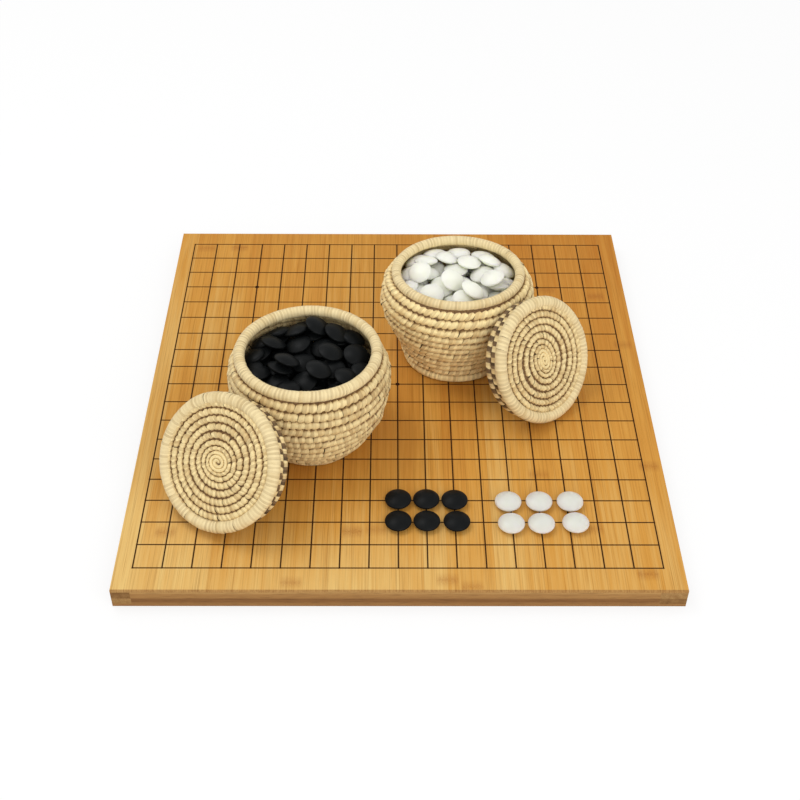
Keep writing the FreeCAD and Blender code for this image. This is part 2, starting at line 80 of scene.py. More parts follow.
# The radius at which an oval spiral has become round.
round_from = 30 * MM
lid_wrap_width = 4.3 * MM
lid_rim_wrap_width = 3.4 * MM
flat_coil_bulge = 2.9 * MM
lid_rim_coil = 5.2 * MM
lid_top_above_rim = 0.6 * MM
lid_unevenness = 0.25 * MM
packing_disc_depth = 1.6 * MM
collar_pitch = 6.4 * MM
collar_bulge = 1.7 * MM
collar_over_mouth = 1.0 * MM
collar_wraps = 68
rows_on_collar = 2
# The height above the board that the lowest straw of a collar is squeezed into.
squeezed_straw = 2.0 * MM

# ---- How a hand lays wraps ----
# How far a wrap strays along its coil, in wraps, and how much wider than its place it is.
stray = 0.08
overlap = 1.14

# ---- What differs between the two bowls ----
# Side of each bowl from foot coil to rim coil, in mm: (radius, height above its underside).
SIDES = {
    "black": [(39.6, 3.8), (54.0, 24.0), (62.2, 48.0), (64.3, 66.0), (62.4, 80.0), (56.5, 91.3)],
    "white": [(43.6, 4.6), (49.6, 24.0), (60.2, 48.0), (65.0, 66.0), (62.6, 80.0), (54.4, 91.4)],
}
# How far the wraps of each wall slant, as a share of their height.
WALL_SLANTS = {"black": 0.18, "white": 0.5}
# How each lid leans, in degrees: (tilt from flat, direction that its face looks in).
LEANS = {"black": (54.0, -124.0), "white": (62.0, -44.6)}
# Radius of each lid's rim coil, in mm.
LID_RIMS = {"black": 51.2, "white": 49.8}
# How far each collar stands off its lid's rim coil, in mm.
COLLAR_DROPS = {"black": 4.3, "white": 3.2}
# How far a lid slips on the board from where it first rests, in mm.
LID_SLIPS = {"black": (-2.2, 0.2, 0.0), "white": (0.0, 0.0, 0.0)}
# How oval each lid's first turns are: their shares down its slope and across it.
SWIRLS = {"black": (0.8, 1.0), "white": (1.0, 0.58)}
# Stones packed against the inside of each bowl, in mm and degrees:
# (x, y, height above its underside, tilt, direction that it tilts to).
WALL_STONES = {
    "black": [(-47, -6, 76.5, 22, 190), (-46, 9, 79.0, 30, 160), (-40, 26, 80.5, 34, 150),
              (-27, 38, 81.0, 36, 120), (-4, 47, 80.5, 30, 95), (17, 45, 79.5, 28, 80),
              (36, 32, 80.0, 26, 20), (45, -8, 76.5, 20, -20)],
    "white": [(-45, -8, 79.5, 24, 190), (-44, 9, 82.0, 34, 170), (-36, 25, 84.0, 24, 150),
              (-20, 36, 84.5, 22, 110), (2, 38, 84.5, 20, 95), (24, 34, 84.0, 24, 70),
              (42, 15, 82.5, 26, 20), (45, -6, 79.5, 24, -10)],
}


# ---- Working with pieces ----
def pick_only(piece):
    """Leaves one object selected and active."""
    bpy.ops.object.select_all(action="DESELECT")
    piece.select_set(True)
    bpy.context.view_layer.objects.active = piece


def join_pieces(pieces, name):
    """Makes one named piece of several."""
    bpy.ops.object.select_all(action="DESELECT")
    for piece in pieces:
        piece.select_set(True)
    bpy.context.view_layer.objects.active = pieces[0]
    bpy.ops.object.join()
    joined = bpy.context.object
    joined.name = name
    joined.data.name = name
    return joined


def finish_piece(piece, body, slot, material, *nodes):
    """Gives a piece its material and hands it to its body in the frame."""
    piece.data.materials.clear()
    piece.data.materials.append(material)
    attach(piece, body)
    if nodes:
        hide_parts(*nodes)


def give_finish(node, material):
    """A node of the construction model that keeps its shape gets its finish."""
    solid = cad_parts[node]
    solid.data.materials.clear()
    solid.data.materials.append(material)


# ---- Straw wraps ----
def straw_wrap(name, sides, pinch_out, pinch_up):
    """One turn of straw round a coil, of size 1, lying along Z.

    X is out of the basket and Y runs up to the next coil. The wrap is plump in the
    middle and pinched at both ends, where the stitches pull it in, to the shares given
    of its depth and height.
    """
    shoulder = 0.66
    bpy.ops.mesh.primitive_cylinder_add(vertices=sides, radius=1, depth=2, end_fill_type="NOTHING",
                                        location=(0, 0, 0))
    wrap = bpy.context.object
    wrap.name = name
    bpy.ops.object.mode_set(mode="EDIT")
    for height in (-shoulder, 0.0, shoulder):
        bpy.ops.mesh.select_all(action="SELECT")
        bpy.ops.mesh.bisect(plane_co=(0, 0, height), plane_no=(0, 0, 1))
    bpy.ops.object.mode_set(mode="OBJECT")
    for level, share in ((1.0, 1.0), (shoulder, 0.34)):
        for vertex in wrap.data.vertices:
            vertex.select = abs(abs(vertex.co.z) - level) < 0.01
        out = 1 - (1 - pinch_out) * share
        up = 1 - (1 - pinch_up) * share
        bpy.ops.object.mode_set(mode="EDIT")
        bpy.ops.transform.resize(value=(out, up, 1.0))
        bpy.ops.object.mode_set(mode="OBJECT")
    bpy.ops.object.shade_smooth()
    return wrap


def lay_wrap(wrap, centre, out, up, along, size, slant, twist, tint):
    """A copy of a wrap, set on a coil.

    out, up and along are its directions and size its half sizes along them. slant leans
    it along the coil, twist turns it about up, and tint is its shade of straw, 0 to 1.
    """
    copy = wrap.copy()
    copy.data = wrap.data.copy()
    bpy.context.collection.objects.link(copy)
    out_size, up_size, along_size = size
    turned_out = out * math.cos(twist) + along * math.sin(twist)
    turned_along = along * math.cos(twist) - out * math.sin(twist)
    columns = (turned_out * out_size, up * up_size + turned_along * (slant * up_size),
               turned_along * along_size)
    place = Matrix.Identity(4)
    for index, column in enumerate(columns):
        for axis in range(3):
            place[axis][index] = column[axis]
    for axis in range(3):
        place[axis][3] = centre[axis]
    copy.data.transform(place)
    shade = copy.data.attributes.new("straw_tint", "FLOAT", "POINT")
    shade.data.foreach_set("value", [tint] * len(copy.data.vertices))
    return copy


def wrap_ring(wrap, centre, radius, press, out_tilt, size, width, slant, ragged, phase=0.0):
    """Wraps laid all round one coil.

    press is how shallow the ring is, front to back, as a share of its width. out_tilt is
    how far the coil's outer side looks up, and size is a wrap's half depth and half height.
    ragged is how much the hand-laid coil wanders, and phase shifts its wraps along it.
    """
    count = int(round(math.pi * radius * (1 + press) / width))
    wander = [(random.uniform(0, 2 * math.pi), random.uniform(0, 2 * math.pi)) for k in range(2)]
    laid = []
    for k in range(count):
        angle = 2 * math.pi * (k + phase + stray * random.uniform(-1, 1)) / count
        level = Vector((math.cos(angle) * press, math.sin(angle), 0)).normalized()
        along = Vector((-math.sin(angle), math.cos(angle) * press, 0))
        half = math.pi * radius * along.length / count
        along.normalize()
        out = level * math.cos(out_tilt) + UP * math.sin(out_tilt)
        up = UP * math.cos(out_tilt) - level * math.sin(out_tilt)
        drift = math.sin(2 * angle + wander[0][0]) + math.sin(5 * angle + wander[0][1])
        rise = math.sin(2 * angle + wander[1][0]) + math.sin(3 * angle + wander[1][1])
        place = centre + Vector((math.cos(angle) * radius, math.sin(angle) * radius * press, 0))
        place += out * (ragged * size[0] * (drift + random.uniform(-0.4, 0.4)))
        place += up * (0.5 * ragged * size[0] * rise)
        own_size = (size[0] * (1 + ragged * random.uniform(-1, 1)),
                    size[1] * (1 + 0.4 * ragged * random.uniform(-1, 1)),
                    half * overlap)
        own_slant = slant + 2 * ragged * random.uniform(-1, 1)
        twist = ragged * random.uniform(-1, 1)
        laid.append(lay_wrap(wrap, place, out, up, along, own_size, own_slant, twist, random.random()))
    return laid


def side_rows(side, first_gap, last_gap):
    """Coils up a bowl's side: (radius, height, how far the coil looks up), and their pitch."""
    line = bpy.data.curves.new("side_line", "CURVE")
    line.dimensions = "3D"
    line.resolution_u = 32
    spline = line.splines.new("BEZIER")
    spline.bezier_points.add(len(side) - 1)
    for point, (radius, height) in zip(spline.bezier_points, side):
        point.co = (radius * MM, 0, height * MM)
        point.handle_left_type = "AUTO"
        point.handle_right_type = "AUTO"
    guide = bpy.data.objects.new("side_guide", line)
    bpy.context.collection.objects.link(guide)
    pick_only(guide)
    bpy.ops.object.convert(target="MESH")
    points = [vertex.co.copy() for vertex in guide.data.vertices]
    bpy.data.objects.remove(guide)
    lengths = [0.0]
    for first, second in zip(points, points[1:]):
        lengths.append(lengths[-1] + (second - first).length)

    def at(distance):
        """The point and the direction at a distance along the side."""
        for k in range(len(lengths) - 1):
            if distance <= lengths[k + 1] or k == len(lengths) - 2:
                share = (distance - lengths[k]) / (lengths[k + 1] - lengths[k])
                return points[k].lerp(points[k + 1], share), (points[k + 1] - points[k]).normalized()

    room = lengths[-1] - first_gap - last_gap
    count = int(round(room / wall_coil_pitch))
    rows = []
    for k in range(count):
        point, run = at(first_gap + (k + 0.5) * room / count)
        rows.append((point.x, point.z, math.atan2(-run.x, run.z)))
    return rows, room / count


def ring_sizes(node):
    """Centre, ring radius, coil radius and press of a coil ring that lies flat."""
    low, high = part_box(node)
    coil = (high.z - low.z) / 2
    return (low + high) / 2, (high.x - low.x) / 2 - coil, coil, (high.y - low.y) / (high.x - low.x)


# ---- Materials ----
class Finish:
    """A procedural material under construction: nodes are added and joined by name."""

    def __init__(self, name):
        self.material = bpy.data.materials.new(name)
        self.material.use_nodes = True
        self.tree = self.material.node_tree
        self.shader = self.tree.nodes["Principled BSDF"]

    def node(self, kind, **settings):
        """A new shader node with the settings given."""
        node = self.tree.nodes.new(kind)
        for key, value in settings.items():
            setattr(node, key, value)
        return node

    def feed(self, socket, value):
        """Links a socket to another one, or sets it to a fixed value."""
        if isinstance(value, bpy.types.NodeSocket):
            self.tree.links.new(value, socket)
        else:
            socket.default_value = value

    def math(self, operation, first, second=0.0):
        node = self.node("ShaderNodeMath", operation=operation)
        self.feed(node.inputs[0], first)
        self.feed(node.inputs[1], second)
        return node.outputs[0]

    def away(self, value, centre):
        """How far a value is from a centre, on either side."""
        return self.math("ABSOLUTE", self.math("SUBTRACT", value, centre))

    def coordinates(self):
        return self.node("ShaderNodeTexCoord").outputs["Object"]

    def attribute(self, name):
        return self.node("ShaderNodeAttribute", attribute_name=name).outputs["Fac"]

    def split(self, vector):
        node = self.node("ShaderNodeSeparateXYZ")
        self.feed(node.inputs[0], vector)
        return node.outputs

    def combine(self, x, y, z):
        node = self.node("ShaderNodeCombineXYZ")
        for socket, value in zip(node.inputs, (x, y, z)):
            self.feed(socket, value)
        return node.outputs[0]

    def stretch(self, vector, scale):
        node = self.node("ShaderNodeMapping")
        self.feed(node.inputs["Vector"], vector)
        node.inputs["Scale"].default_value = scale
        return node.outputs[0]

    def noise(self, vector, scale, detail=3.0, roughness=0.5, w=None):
        node = self.node("ShaderNodeTexNoise")
        if w is not None:
            node.noise_dimensions = "4D"
            self.feed(node.inputs["W"], w)
        self.feed(node.inputs["Vector"], vector)
        node.inputs["Scale"].default_value = scale
        node.inputs["Detail"].default_value = detail
        node.inputs["Roughness"].default_value = roughness
        return node.outputs["Fac"]

    def chance(self, value):
        """A steady random number for each value."""
        node = self.node("ShaderNodeTexWhiteNoise", noise_dimensions="1D")
        self.feed(node.inputs["W"], value)
        return node.outputs["Value"]

    def ramp(self, value, *stops):
        """A colour that follows a value through the stops given: (value, colour)."""
        node = self.node("ShaderNodeValToRGB")
        elements = node.color_ramp.elements
        while len(elements) < len(stops):
            elements.new(0.5)
        for element, (position, colour) in zip(elements, stops):
            element.position = position
            element.color = (*colour, 1)
        self.feed(node.inputs[0], value)
        return node.outputs[0]

    def span(self, value, low, high, to_low=0.0, to_high=1.0):
        """A value's place between low and high, as a number from to_low to to_high."""
        node = self.node("ShaderNodeMapRange")
        for socket, number in zip(node.inputs, (value, low, high, to_low, to_high)):
            self.feed(socket, number)
        return node.outputs[0]

    def mix(self, share, first, second):
        """The first colour, giving way to the second one by a share."""
        node = self.node("ShaderNodeMix", data_type="RGBA")
        self.feed(node.inputs["Factor"], share)
        for socket, value in zip((node.inputs[6], node.inputs[7]), (first, second)):
            self.feed(socket, (*value, 1) if isinstance(value, tuple) else value)
        return node.outputs[2]

    def bump(self, height, strength, distance):
        node = self.node("ShaderNodeBump")
        self.feed(node.inputs["Height"], height)
        node.inputs["Strength"].default_value = strength
        node.inputs["Distance"].default_value = distance
        return node.outputs[0]

    def surface(self, colour, roughness, normal=None, **fixed):
        """Joins everything to the shader and gives the finished material."""
        self.feed(self.shader.inputs["Base Color"], colour)
        self.feed(self.shader.inputs["Roughness"], roughness)
        if normal is not None:
            self.feed(self.shader.inputs["Normal"], normal)
        for name, value in fixed.items():
            self.shader.inputs[name.replace("_", " ")].default_value = value
        return self.material


def tone_between(first, second, share):
    return tuple(a + (b - a) * share for a, b in zip(first, second))


def scaled(colour, share):
    return tuple(c * share for c in colour)


# A wrap's own coordinate along its coil runs from 0.5 to 1, so this is its middle.
WRAP_MIDDLE = 0.75


def straw_finish(name, pale, deep, dark, seam_shade_tan, edge_share, seam_shade_share, fibre_share, inner_shade_share,
                 hole_shade_share):
    """Palm straw: fibres run round each wrap, and its pinched edges are darker, partly with wear
    and partly with painted shade in the grooves between wraps.

    The sides of a wrap that meet the rows above and below are painted a shaded tan, for the
    shade in the creases between rows. The side that looks into the basket is darker too, with
    painted shade, and so are the stitch holes, where the ends of a wrap meet the next row:
    painted shade for their depth. A few wraps are split. The shares say how strongly each of
    these shows.
    """
    finish = Finish(name)
    tint = finish.attribute("straw_tint")
    unwrapped = finish.node("ShaderNodeUVMap", uv_map="UVMap").outputs[0]
    turn, along = finish.split(unwrapped)[:2]
    edge = finish.math("DIVIDE", finish.away(along, WRAP_MIDDLE), 1.0 - WRAP_MIDDLE)
    # Each wrap has fibres of its own, because its tint moves it to another place in the noise.
    own_place = finish.math("MULTIPLY", tint, 53.0)
    fibres = finish.noise(finish.stretch(unwrapped, (1.6, 13.0, 1.0)), 1.0, 4.0, 0.65, w=own_place)
    blotches = finish.noise(finish.coordinates(), 160.0, 3.0)
    bright = tuple(min(1.0, c) for c in scaled(pale, 1.05))
    colour = finish.ramp(tint, (0.0, tone_between(deep, pale, 0.45)), (0.3, pale), (0.95, bright))
    colour = finish.mix(finish.span(fibres, 0.48, 0.68, 0.0, fibre_share), colour, scaled(deep, 0.85))
    colour = finish.mix(finish.span(blotches, 0.5, 0.75, 0.0, 0.35), colour, deep)
    around = finish.math("MULTIPLY", turn, 2 * math.pi)
    seam = finish.math("ABSOLUTE", finish.math("COSINE", around))
    # Painted shade: the sides of each wrap that meet the next rows take a shaded tan, as shade in the
    # creases.
    colour = finish.mix(finish.span(seam, 0.55, 0.9, 0.0, seam_shade_share), colour, seam_shade_tan)
    # Painted shade on the side of each wrap that looks into the basket.
    inner_shade = finish.span(finish.math("SINE", around), 0.1, 0.7, 0.0, inner_shade_share)
    colour = finish.mix(inner_shade, colour, scaled(seam_shade_tan, 0.6))
    # Each wrap's pinched edges are darkened by its own amount: partly wear, partly painted shade in the
    # grooves between wraps.
    uneven = finish.span(finish.chance(tint), 0.0, 1.0, 0.15 * edge_share, edge_share)
    stain = finish.math("MULTIPLY", finish.span(edge, 0.8, 1.0), uneven)
    colour = finish.mix(stain, colour, dark)
    # Painted shade in the stitch holes, where a wrap's ends meet the next row.
    hole_shade = finish.math("MULTIPLY", finish.span(edge, 0.55, 0.85),
                       finish.span(seam, 0.74, 0.88, 0.0, hole_shade_share))
    colour = finish.mix(hole_shade, colour, scaled(dark, 0.75))
    split = finish.math("MULTIPLY", finish.span(along, 0.91, 0.95, 0.0, 0.6),
                        finish.span(tint, 0.968, 0.97))
    colour = finish.mix(split, colour, dark)
    normal = finish.bump(fibres, 0.4, 0.4 * MM)
    return finish.surface(colour, 0.6, normal, Specular_IOR_Level=0.3)


def packing_shade_finish(name):
    """The inside of the coils seen through the stitch holes, painted dark as painted shade."""
    finish = Finish(name)
    grain = finish.noise(finish.coordinates(), 900.0, 2.0)
    colour = finish.ramp(grain, (0.3, (0.10, 0.05, 0.018)), (0.8, (0.26, 0.14, 0.052)))
    return finish.surface(colour, 0.85)


# ---- Playing face of the board ----
burnt_line_width = 1.0 * MM
# From the middle line to the outer ones, in line spacings.
LINES_TO_EDGE = 9.0
# Knuckles of the bamboo on the playing face, from its centre, in mm: (x, y, strength).
KNUCKLES = [
    (-195, 211, 0.7), (-162, 212, 0.95), (146, 142, 0.7), (-84, -229, 0.7), (193, 132, 0.9),
    (-187, -177, 0.7), (193, -220, 0.9), (37, -226, 0.75), (56, -233, 0.7), (-38, -176, 0.95),
    (-19, -174, 0.6), (117, -112, 0.55), (211, -102, 0.8), (156, -173, 0.6), (210, 58, 0.6),
]
KNUCKLE_BROWN = (0.30, 0.095, 0.016)
SCORCH_BROWN = (0.07, 0.026, 0.008)


def add_knuckle(finish, colour, x, y, at_x, at_y, strength):
    """A soft stain of flecks, as wide as a strip, where the cane had a joint."""
    flecks_across, flecks_run = 1500.0, 520.0
    inside = finish.math("MULTIPLY", finish.span(finish.away(x, at_x * MM), 7.0 * MM, 9.6 * MM, 1.0, 0.0),
                         finish.span(finish.away(y, at_y * MM), 0.0, 7.5 * MM, 1.0, 0.0))
    from_middle = finish.math("SUBTRACT", x, at_x * MM)
    flecks = finish.noise(finish.combine(finish.math("MULTIPLY", from_middle, flecks_across),
                                         finish.math("MULTIPLY", y, flecks_run), at_x * 0.1), 1.0, 4.0, 0.7)
    stain = finish.math("MULTIPLY", inside, finish.span(flecks, 0.36, 0.7, 0.22, 0.8 * strength))
    return finish.mix(stain, colour, KNUCKLE_BROWN)


def grid_lines():
    """First line and line spacing of the burnt grid, along X and along Y."""
    low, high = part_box("board_grid_lines")
    return [(low[axis] + burnt_line_width / 2,
             (high[axis] - low[axis] - burnt_line_width) / (2 * LINES_TO_EDGE)) for axis in range(2)]


def add_scorch(finish, colour, value, line, other, other_line):
    """A brown edge beside each burnt line, as far as the outer lines that cross it.

    line and other_line are the first line and the spacing, along value and along other.
    """
    burnt_to, brown_to = burnt_line_width / 2, 0.9 * MM
    first, pitch = line
    steps = finish.math("DIVIDE", finish.math("SUBTRACT", value, first), pitch)
    other_steps = finish.math("DIVIDE", finish.math("SUBTRACT", other, other_line[0]), other_line[1])
    within_grid = [finish.span(finish.away(counted, LINES_TO_EDGE),
                               LINES_TO_EDGE + 0.02, LINES_TO_EDGE + 0.05, 1.0, 0.0)
                   for counted in (steps, other_steps)]
    inside = finish.math("MULTIPLY", *within_grid)
    off = finish.away(steps, finish.math("ROUND", steps))
    burnt = finish.span(off, burnt_to / pitch, brown_to / pitch, 0.6, 0.0)
    return finish.mix(finish.math("MULTIPLY", burnt, inside), colour, SCORCH_BROWN)


def painted_face_shade(finish, x, y):
    """How much deeper the playing face is painted: painted shade towards the far right, where
    less light falls, and a painted shadow round one orange spot, where the bowls and lids shade
    the board.

    The spot lies to the front left of the middle and fades out between two radii.
    """
    rise_across, rise_back = 0.55, 0.85
    spot = (-75 * MM, -70 * MM)
    full_to, fades_to = 40 * MM, 170 * MM
    # Painted shade: deeper towards the back and the right, where less light falls, and round the spot, where
    # the bowls and lids cast their shadow.
    slope = finish.math("ADD", finish.math("MULTIPLY", y, rise_back),
                        finish.math("MULTIPLY", x, rise_across))
    squares = [finish.math("POWER", finish.math("SUBTRACT", value, centre), 2.0)
               for value, centre in zip((x, y), spot)]
    from_shadow_spot = finish.math("SQRT", finish.math("ADD", *squares))
    return finish.math("ADD", slope, finish.span(from_shadow_spot, full_to, fades_to, 0.44, 0.1))


def add_worn_edge(finish, colour, y, fibres):
    """The front edge of the playing face is rubbed down to its bare fibres."""
    worn_to, sound_from = 1.0 * MM, 1.5 * MM
    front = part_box("board_top_ply")[0].y
    worn = finish.span(finish.math("SUBTRACT", y, front), worn_to, sound_from, 0.85, 0.0)
    rubbed = finish.mix(finish.span(fibres, 0.35, 0.7), (0.43, 0.235, 0.08), (0.24, 0.105, 0.03))
    return finish.mix(worn, colour, rubbed)


def bamboo_finish(name, pale, deep, strip, across="x", tone_share=0.42, grain_run=14.0, grain_share=0.6,
                  playing_face=False):
    """Bamboo strips side by side, each with its own tone and long fibres.

    across is the axis that the strips lie side by side along, and strip is their width.
    grain_run and grain_share say how short and how dark the fibres are. The playing face
    also has a broad painted shade and shadow, knuckles, scorched lines and a worn front edge.
    """
    # How often the fine fibres and the broad bands of tone change, per metre.
    fine_across, fine_up, broad_across, broad_run = 1500.0, 300.0, 230.0, 9.0
    finish = Finish(name)
    x, y, z = finish.split(finish.coordinates())
    side, run = {"x": (x, y), "z": (z, x)}[across]
    counted = finish.math("DIVIDE", side, strip)
    lane = finish.math("FLOOR", counted)
    within = finish.math("SUBTRACT", counted, lane)
    tone = finish.chance(lane)
    lane_run = finish.math("ADD", run, finish.math("MULTIPLY", tone, 3.0))
    fine = finish.noise(finish.combine(finish.math("MULTIPLY", side, fine_across),
                                       finish.math("MULTIPLY", lane_run, grain_run),
                                       finish.math("MULTIPLY", z, fine_up)), 1.0, 4.0, 0.6)
    broad = finish.noise(finish.combine(finish.math("MULTIPLY", side, broad_across),
                                        finish.math("MULTIPLY", lane_run, broad_run), tone), 1.0, 3.0, 0.6)
    share = finish.math("ADD", finish.math("MULTIPLY", tone, tone_share),
                        finish.math("MULTIPLY", broad, 0.55))
    if playing_face:
        # Painted shade and shadow across the playing face.
        share = finish.math("ADD", share, painted_face_shade(finish, x, y))
    middle = tuple((p * d) ** 0.5 * 1.06 for p, d in zip(pale, deep))
    colour = finish.ramp(share, (0.05, pale), (0.5, middle), (0.95, deep))
    dark = scaled(deep, 0.55)
    colour = finish.mix(finish.span(fine, 0.5, 0.78, 0.0, grain_share), colour, dark)
    colour = finish.mix(finish.span(finish.away(within, 0.5), 0.485, 0.5, 0.0, 0.35), colour, dark)
    if playing_face:
        for at_x, at_y, strength in KNUCKLES:
            colour = add_knuckle(finish, colour, x, y, at_x, at_y, strength)
        columns, rows = grid_lines()
        colour = add_scorch(finish, colour, x, columns, y, rows)
        colour = add_scorch(finish, colour, y, rows, x, columns)
        colour = add_worn_edge(finish, colour, y, fine)
    return finish.surface(colour, 0.5, finish.bump(fine, 0.25, 0.2 * MM), Specular_IOR_Level=0.08)


def end_grain_finish(name, pale, deep):
    """Cut ends of bamboo strips, speckled by their fibres."""
    finish = Finish(name)
    place = finish.coordinates()
    dots = finish.node("ShaderNodeTexVoronoi")
    finish.feed(dots.inputs["Vector"], finish.stretch(place, (1.0, 1.0, 1.4)))
    dots.inputs["Scale"].default_value = 1500.0
    speck = finish.span(dots.outputs["Distance"], 0.15, 0.5)
    clouds = finish.noise(place, 220.0, 2.0)
    colour = finish.mix(finish.span(clouds, 0.35, 0.7), pale, deep)
    colour = finish.mix(finish.math("MULTIPLY", speck, 0.45), colour, scaled(deep, 0.4))
    return finish.surface(colour, 0.7, Specular_IOR_Level=0.05)


def stone_finish(name, colour, roughness, mottle, **fixed):
    """Pressed glass with a faint mottle."""
    finish = Finish(name)
    clouds = finish.noise(finish.coordinates(), 120.0, 2.0)
    fine = finish.noise(finish.coordinates(), 2600.0, 2.0)
    toned = finish.mix(finish.span(clouds, 0.3, 0.7), colour, scaled(colour, mottle))
    normal = finish.bump(fine, 0.05, 0.1 * MM)
    return finish.surface(toned, roughness, normal, IOR=1.5, **fixed)


def char_finish(name):
    """The char in the burnt lines and star points."""
    finish = Finish(name)
    grain = finish.noise(finish.coordinates(), 700.0, 3.0)
    colour = finish.ramp(grain, (0.3, (0.02, 0.007, 0.003)), (0.75, (0.05, 0.018, 0.006)))
    return finish.surface(colour, 0.9, finish.bump(grain, 0.3, 0.2 * MM), Specular_IOR_Level=0.05)


PALE_STRAW = (0.86, 0.69, 0.355)
DEEP_STRAW = (0.58, 0.38, 0.15)
SEAM_BROWN = (0.22, 0.105, 0.03)
# A shaded tan for painted shade: in the creases between rows and on the sides of wraps that look into the
# basket.
SEAM_SHADE_TAN = (0.47, 0.28, 0.095)
straw = straw_finish("palm_straw", PALE_STRAW, DEEP_STRAW, SEAM_BROWN, SEAM_SHADE_TAN, edge_share=0.45,
                     seam_shade_share=0.42, fibre_share=0.45, inner_shade_share=0.25, hole_shade_share=0.85)
sunny_straw = straw_finish("sunny_palm_straw", (0.97, 0.78, 0.40), (0.68, 0.46, 0.18), SEAM_BROWN,
                           SEAM_SHADE_TAN, edge_share=0.4, seam_shade_share=0.4, fibre_share=0.35,
                           inner_shade_share=0.25, hole_shade_share=0.7)
rim_straw = straw_finish("fine_palm_straw", (0.80, 0.65, 0.36), (0.66, 0.49, 0.23), SEAM_BROWN,
                         SEAM_SHADE_TAN, edge_share=0.32, seam_shade_share=0.0, fibre_share=0.22,
                         inner_shade_share=0.0, hole_shade_share=0.0)
dyed_straw = straw_finish("dyed_palm_straw", (0.21, 0.13, 0.06), (0.08, 0.042, 0.018),
                          (0.01, 0.005, 0.003), (0.05, 0.026, 0.012), edge_share=0.7,
                          seam_shade_share=0.3, fibre_share=0.6, inner_shade_share=0.5, hole_shade_share=0.5)
# The coils' core is painted dark: painted shade for what shows through the stitch holes.
packing_shade = packing_shade_finish("coil_packing_shade")

bamboo_top = bamboo_finish("bamboo_face", (0.735, 0.495, 0.172), (0.44, 0.15, 0.014), 18.6 * MM,
                           tone_share=0.2, playing_face=True)
edge_grain = {"across": "z", "grain_run": 70.0, "grain_share": 0.85}
bamboo_ply = bamboo_finish("bamboo_bottom_ply", (0.38, 0.205, 0.07), (0.25, 0.115, 0.036), 3.1 * MM,
                           **edge_grain)
bamboo_upper = bamboo_finish("bamboo_upper_layer", (0.47, 0.275, 0.095), (0.27, 0.125, 0.037),
                             3.6 * MM, **edge_grain)
bamboo_lower = bamboo_finish("bamboo_lower_layer", (0.34, 0.18, 0.062), (0.17, 0.07, 0.02),
                             2.4 * MM, **edge_grain)
end_grain_dark = end_grain_finish("bamboo_end_grain_dark", (0.36, 0.195, 0.07), (0.24, 0.115, 0.038))
end_grain_pale = end_grain_finish("bamboo_end_grain_pale", (0.48, 0.28, 0.105), (0.36, 0.19, 0.065))
char = char_finish("burnt_lines")

black_glass = stone_finish("black_stone_glass", (0.0042, 0.0048, 0.005), 0.42, 1.3,
                           Specular_IOR_Level=0.1)
milky = {"Specular_IOR_Level": 0.5, "Subsurface_Weight": 0.85,
         "Subsurface_Radius": (0.012, 0.013, 0.010), "Subsurface_Scale": 1.0}
white_glass = stone_finish("white_stone_glass", (0.66, 0.665, 0.605), 0.4, 0.98, **milky)
# The stones in the bowls are painted paler and warmer than those on the board: painted light, for the light
# that reaches the gaps between them.
white_heap_glass_painted_light = stone_finish("white_heap_glass_painted_light", (0.86, 0.87, 0.74), 0.4, 0.98, **milky)

BOARD_STONE_GLASS = {"black": black_glass, "white": white_glass}
BOWL_STONE_GLASS = {"black": black_glass, "white": white_heap_glass_painted_light}
WALL_STRAW = {"black": straw, "white": sunny_straw}

# ---- Board ----
BOARD_FINISHES = {
    "board_top_ply": bamboo_top, "board_bottom_ply": bamboo_ply, "board_core": bamboo_upper,
    "board_grid_lines": char,
    "board_front_batten_upper": bamboo_upper, "board_front_batten_lower": bamboo_lower,
    "board_back_batten_upper": bamboo_upper, "board_back_batten_lower": bamboo_lower,
    "board_left_batten_upper": end_grain_dark, "board_left_batten_lower": end_grain_pale,
    "board_right_batten_upper": end_grain_pale, "board_right_batten_lower": end_grain_dark,
}

for node, material in BOARD_FINISHES.items():
    give_finish(node, material)

# ---- Stones ----
for colour in COLOURS:
    for k in range(1, stones_on_board + 1):
        give_finish(f"{colour}_stone_{k}", BOARD_STONE_GLASS[colour])
    for node in (colour + "_stones_bed", colour + "_stones_heap"):
        give_finish(node, BOWL_STONE_GLASS[colour])


def pack_wall_stones(colour, underside):
    """Lens-shaped stones lying against the inside of a bowl, beside the heap."""
    low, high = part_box(colour + "_stone_1")
    across, thick = high.x - low.x, high.z - low.z
    laid = []
    for x, y, height, tilt, azimuth in WALL_STONES[colour]:
        bpy.ops.mesh.primitive_uv_sphere_add(segments=32, ring_count=16, radius=across / 2,
                                             location=(0, 0, 0))
        stone = bpy.context.object
        bpy.ops.object.mode_set(mode="EDIT")
        bpy.ops.mesh.select_all(action="SELECT")
        bpy.ops.transform.resize(value=(1, 1, thick / across))
        bpy.ops.object.mode_set(mode="OBJECT")
        bpy.ops.object.shade_smooth()
        turn = Matrix.Rotation(math.radians(azimuth), 4, "Z") @ Matrix.Rotation(math.radians(tilt), 4, "Y")
        stone.data.transform(Matrix.Translation(underside + Vector((x, y, height)) * MM) @ turn)
        laid.append(stone)
    stones = join_pieces(laid, colour + "_stones_by_wall")
    finish_piece(stones, colour + "_bowl", colour + "_stone", BOWL_STONE_GLASS[colour])


# ---- Bowls ----
plump_wrap = straw_wrap("plump_wrap", sides=12, pinch_out=0.95, pinch_up=0.74)
smooth_wrap = straw_wrap("smooth_wrap", sides=14, pinch_out=0.98, pinch_up=0.98)
cord_turn = straw_wrap("cord_turn", sides=14, pinch_out=1.0, pinch_up=1.0)
# A bare cord has no pinched edges, so all of it has the colour of a wrap's middle.
for corner in cord_turn.data.uv_layers.active.data:
    corner.uv[1] = WRAP_MIDDLE


